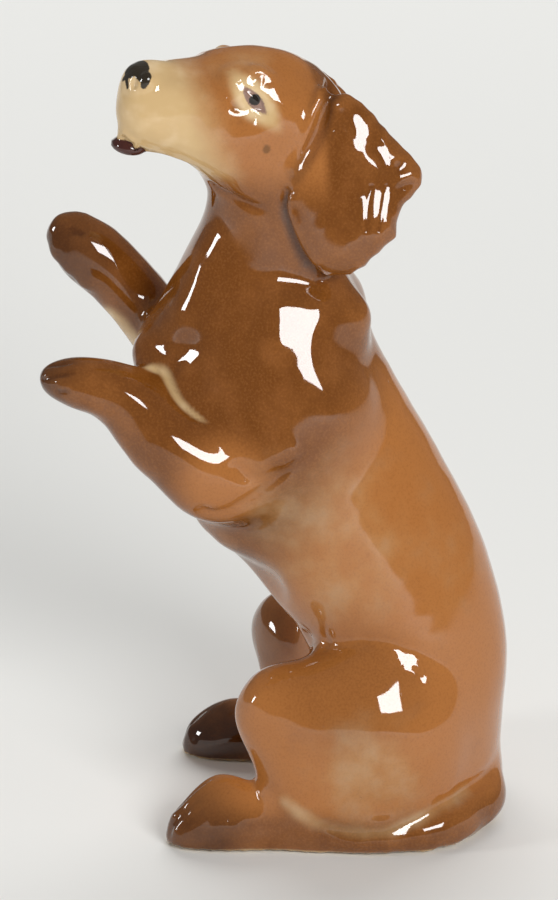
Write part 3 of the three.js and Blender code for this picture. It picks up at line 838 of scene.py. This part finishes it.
# glaze runs off edges and stands in creases
pooling = {"spreads": 6, "strength": 4}
middles = np.stack([clay.aroundEach(axis, clay.ends) for axis in here.T], 1) / clay.links[:, None]
lengths = np.linalg.norm(here[clay.ends[:, 0]] - here[clay.ends[:, 1]], axis=1)
spacing = np.bincount(clay.ends.ravel(), np.repeat(lengths, 2)) / clay.links
pooled = ((middles - here) * clay.normals()).sum(1) / spacing ** 2
for _ in range(pooling["spreads"]):
    pooled = 0.5 * pooled + 0.5 * clay.aroundEach(pooled, clay.ends) / clay.links
paint["pooled"] = np.clip(pooled * pooling["strength"], -1, 1)

for name, values in paint.items():
    layer = dog.data.attributes.new(name, "FLOAT", "POINT")
    layer.data.foreach_set("value", values.astype(np.float32))
print("colours laid on")

# Glazed earthenware: sprayed brown under a clear, thick, slightly wavy lead glaze. The eye sees two layers, a
# matt and cloudy colour, and a mirror over it that shows the pale table, the dark room and the soft boxes.
glazeLook = {
    "brown": "#714012",
    "brownThinAndSheen": "#b07038",
    "brownThick": "#5a2b0e",
    "creamAndSheen": "#ceae7d",
    "creamThin": "#dcc095",
    "dark": "#2e170c",
    "nose": "#17130f",
    "pupil": "#17130f",
    "iris": "#86665f",
    "tongue": "#44211b",
    "freckle": "#6b410c",
    "cloudSize": 9.0,  # mm, the clouds of the spray
    "grainSize": 0.5,  # mm, the droplets of the spray, a little larger than life so that they show
    "rippleSize": 11.0,  # mm, the waves of the glaze
    "rippleHeight": 0.09,  # mm
    "pinholeSpacing": 5.5,  # mm
    "pinholeDepth": 0.05,  # mm
    "pinholeEdge": (0.018, 0.05),  # shares of the spacing
    "runOff": 0.35,  # how far pooling shifts the clouds
    "thinClouds": (0.40, 0.75, 0.28),  # noise where they begin and are full, and their density
    "thickClouds": (0.52, 0.85, 0.32),
    "paleGrain": (0.45, 0.75, 0.17),
    "deepGrain": (0.55, 0.25, 0.17),
    "darkClouds": (0.25, 0.7, 1.0, 0.8),
    "creamClouds": 0.5,
    "creamEdge": (0.05, 0.95),
    "creamThinClouds": (0.45, 0.7),
    "edgeGrain": 0.35,  # mm, how far the droplets roughen a brushed edge
    "roughness": 0.045,
    "refraction": 1.58,
}
brushed = {
    # density, and the softness of the edge in mm, in the order in which they are laid
    "freckle": (0.8, 0.35),
    "tongue": (1.0, 0.14),
    "iris": (0.9, 0.14),
    "nose": (0.97, 0.14),
    "pupil": (0.98, 0.14),
}

glaze = bpy.data.materials.new("glazedEarthenware")
glaze.use_nodes = True
nodes, links = glaze.node_tree.nodes, glaze.node_tree.links
shader = nodes["Principled BSDF"]


def addNode(kind, inputs, output=0, **settings):
    # a node with its settings; its inputs are values or other nodes' outputs, and one of its own comes back
    node = nodes.new("ShaderNode" + kind)
    for name, value in settings.items():
        setattr(node, name, value)
    for name, value in inputs.items():
        if isinstance(value, bpy.types.NodeSocket):
            links.new(value, node.inputs[name])
        else:
            node.inputs[name].default_value = value
    return node.outputs[output]


fade = {"interpolation_type": "SMOOTHSTEP"}
place = addNode("TexCoord", {}, "Object")
cloudScale = 1 / (glazeLook["cloudSize"] * mm)
grainScale = 1 / (glazeLook["grainSize"] * mm)
clouds = addNode("TexNoise", {"Vector": place, "Scale": cloudScale, "Detail": 3.0}, "Fac")
grain = addNode("TexNoise", {"Vector": place, "Scale": grainScale, "Detail": 2.0}, "Fac")
layers = {name: addNode("Attribute", {}, "Fac", attribute_name=name) for name in paint}

thinner = addNode("Math", {0: layers["pooled"], 1: -glazeLook["runOff"], 2: clouds}, operation="MULTIPLY_ADD")
thicker = addNode("Math", {0: layers["pooled"], 1: glazeLook["runOff"], 2: clouds}, operation="MULTIPLY_ADD")
mottles = {"thinClouds": thinner, "thickClouds": thicker, "paleGrain": grain, "deepGrain": grain}
for name, pattern in mottles.items():
    start, full, density = glazeLook[name]
    mottles[name] = addNode("MapRange", {0: pattern, 1: start, 2: full, 4: density}, **fade)
thinAndSheen = addNode("Math", {0: mottles["thinClouds"], 1: layers["thinAndSheen"]}, operation="MAXIMUM")
start, full, pale, deep = glazeLook["darkClouds"]
cloudy = addNode("MapRange", {0: clouds, 1: start, 2: full, 3: pale, 4: deep}, **fade)
dark = addNode("Math", {0: layers["dark"], 1: cloudy}, operation="MULTIPLY")

# each wash goes over the ones before it
washes = [
    # the paler brown over this layer is partly thinner spray, partly painted reflection of the pale paper
    ("brownThinAndSheen", thinAndSheen),
    ("brownThick", mottles["thickClouds"]),
    ("brownThinAndSheen", mottles["paleGrain"]),
    ("brownThick", mottles["deepGrain"]),
    # the dark wash holds sprayed darker paws, and painted shade on the far foot, the far knee and the ears'
    # furrows
    ("dark", dark),
]
colour = linear(glazeLook["brown"])
for name, density in washes:
    colour = addNode("Mix", {0: density, 6: colour, 7: linear(glazeLook[name])}, 2, data_type="RGBA")

shift = addNode("Math", {0: clouds, 1: 0.5}, operation="SUBTRACT")
creamPlace = {0: shift, 1: glazeLook["creamClouds"], 2: layers["creamAndSheen"]}
creamPlace = addNode("Math", creamPlace, operation="MULTIPLY_ADD")
start, full = glazeLook["creamEdge"]
creamDensity = addNode("MapRange", {0: creamPlace, 1: start, 2: full}, **fade)
start, full = glazeLook["creamThinClouds"]
creamThin = addNode("MapRange", {0: clouds, 1: start, 2: full}, **fade)
creams = {0: creamThin, 6: linear(glazeLook["creamAndSheen"]), 7: linear(glazeLook["creamThin"])}
creams = addNode("Mix", creams, 2, data_type="RGBA")
colour = addNode("Mix", {0: creamDensity, 6: colour, 7: creams}, 2, data_type="RGBA")

roughening = addNode("Math", {0: grain, 1: 0.5}, operation="SUBTRACT")
for name, (density, softness) in brushed.items():
    edge = {0: roughening, 1: glazeLook["edgeGrain"], 2: layers[name]}
    edge = addNode("Math", edge, operation="MULTIPLY_ADD")
    cover = addNode("MapRange", {0: edge, 1: -softness, 2: softness, 3: density, 4: 0.0}, **fade)
    colour = addNode("Mix", {0: cover, 6: colour, 7: linear(glazeLook[name])}, 2, data_type="RGBA")
links.new(colour, shader.inputs["Base Color"])

# the glaze's own relief: long ripples and a few pinholes
rippleScale = 1 / (glazeLook["rippleSize"] * mm)
pinholeScale = 1 / (glazeLook["pinholeSpacing"] * mm)
ripples = addNode("TexNoise", {"Vector": place, "Scale": rippleScale, "Detail": 1.0}, "Fac")
pinholes = addNode("TexVoronoi", {"Vector": place, "Scale": pinholeScale}, "Distance")
start, full = glazeLook["pinholeEdge"]
aroundHoles = addNode("MapRange", {0: pinholes, 1: start, 2: full}, **fade)
holeHeight = addNode("Math", {0: aroundHoles, 1: glazeLook["pinholeDepth"] * mm}, operation="MULTIPLY")
relief = {0: ripples, 1: glazeLook["rippleHeight"] * mm, 2: holeHeight}
relief = addNode("Math", relief, operation="MULTIPLY_ADD")
bump = addNode("Bump", {"Height": relief, "Strength": 1.0, "Distance": 1.0}, "Normal")
links.new(bump, shader.inputs["Normal"])
shader.inputs["Roughness"].default_value = glazeLook["roughness"]
shader.inputs["IOR"].default_value = glazeLook["refraction"]
dog.data.materials.append(glaze)
print("glaze mixed")

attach(dog, "root")
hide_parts(bodyMesh["node"])

# The floor and the backdrop
paper = bpy.data.materials.new("matPaper")  # plain uncoated card: pale and without shine
paper.use_nodes = True
paperShader = paper.node_tree.nodes["Principled BSDF"]
paperShader.inputs["Base Color"].default_value = linear(stage["paperColour"])
paperShader.inputs["Roughness"].default_value = stage["paperRoughness"]
paperShader.inputs["Specular IOR Level"].default_value = stage["paperShine"]

bpy.ops.mesh.primitive_plane_add(size=stage["paperSize"])
floor = bpy.context.object
floor.name = "paleFloor"
floor.data.materials.append(paper)
bpy.ops.mesh.primitive_plane_add(size=stage["paperSize"], location=stage["backdropAt"],
                                 rotation=(0, math.pi / 2, 0))
backdrop = bpy.context.object
backdrop.name = "paleBackdrop"
backdrop.data.materials.append(paper)

for name, (azimuth, elevation, distance, width, height, power) in stage["softBoxes"].items():
    bpy.ops.object.light_add(type="AREA")
    lamp = bpy.context.object
    lamp.name = name
    lamp.data.shape = "RECTANGLE"
    lamp.data.size = width
    lamp.data.size_y = height
    lamp.data.energy = power
    lamp.visible_glossy = name != "paperLight"  # kept out of the glaze, as a card would keep it
    aim(lamp, azimuth, elevation, distance, stage["aimedAt"])

room = bpy.data.worlds.new("dimRoom")
room.use_nodes = True
room.node_tree.nodes["Background"].inputs["Color"].default_value = linear(stage["roomColour"])
room.node_tree.nodes["Background"].inputs["Strength"].default_value = stage["roomStrength"]
bpy.context.scene.world = room
print("floor and lights in place")
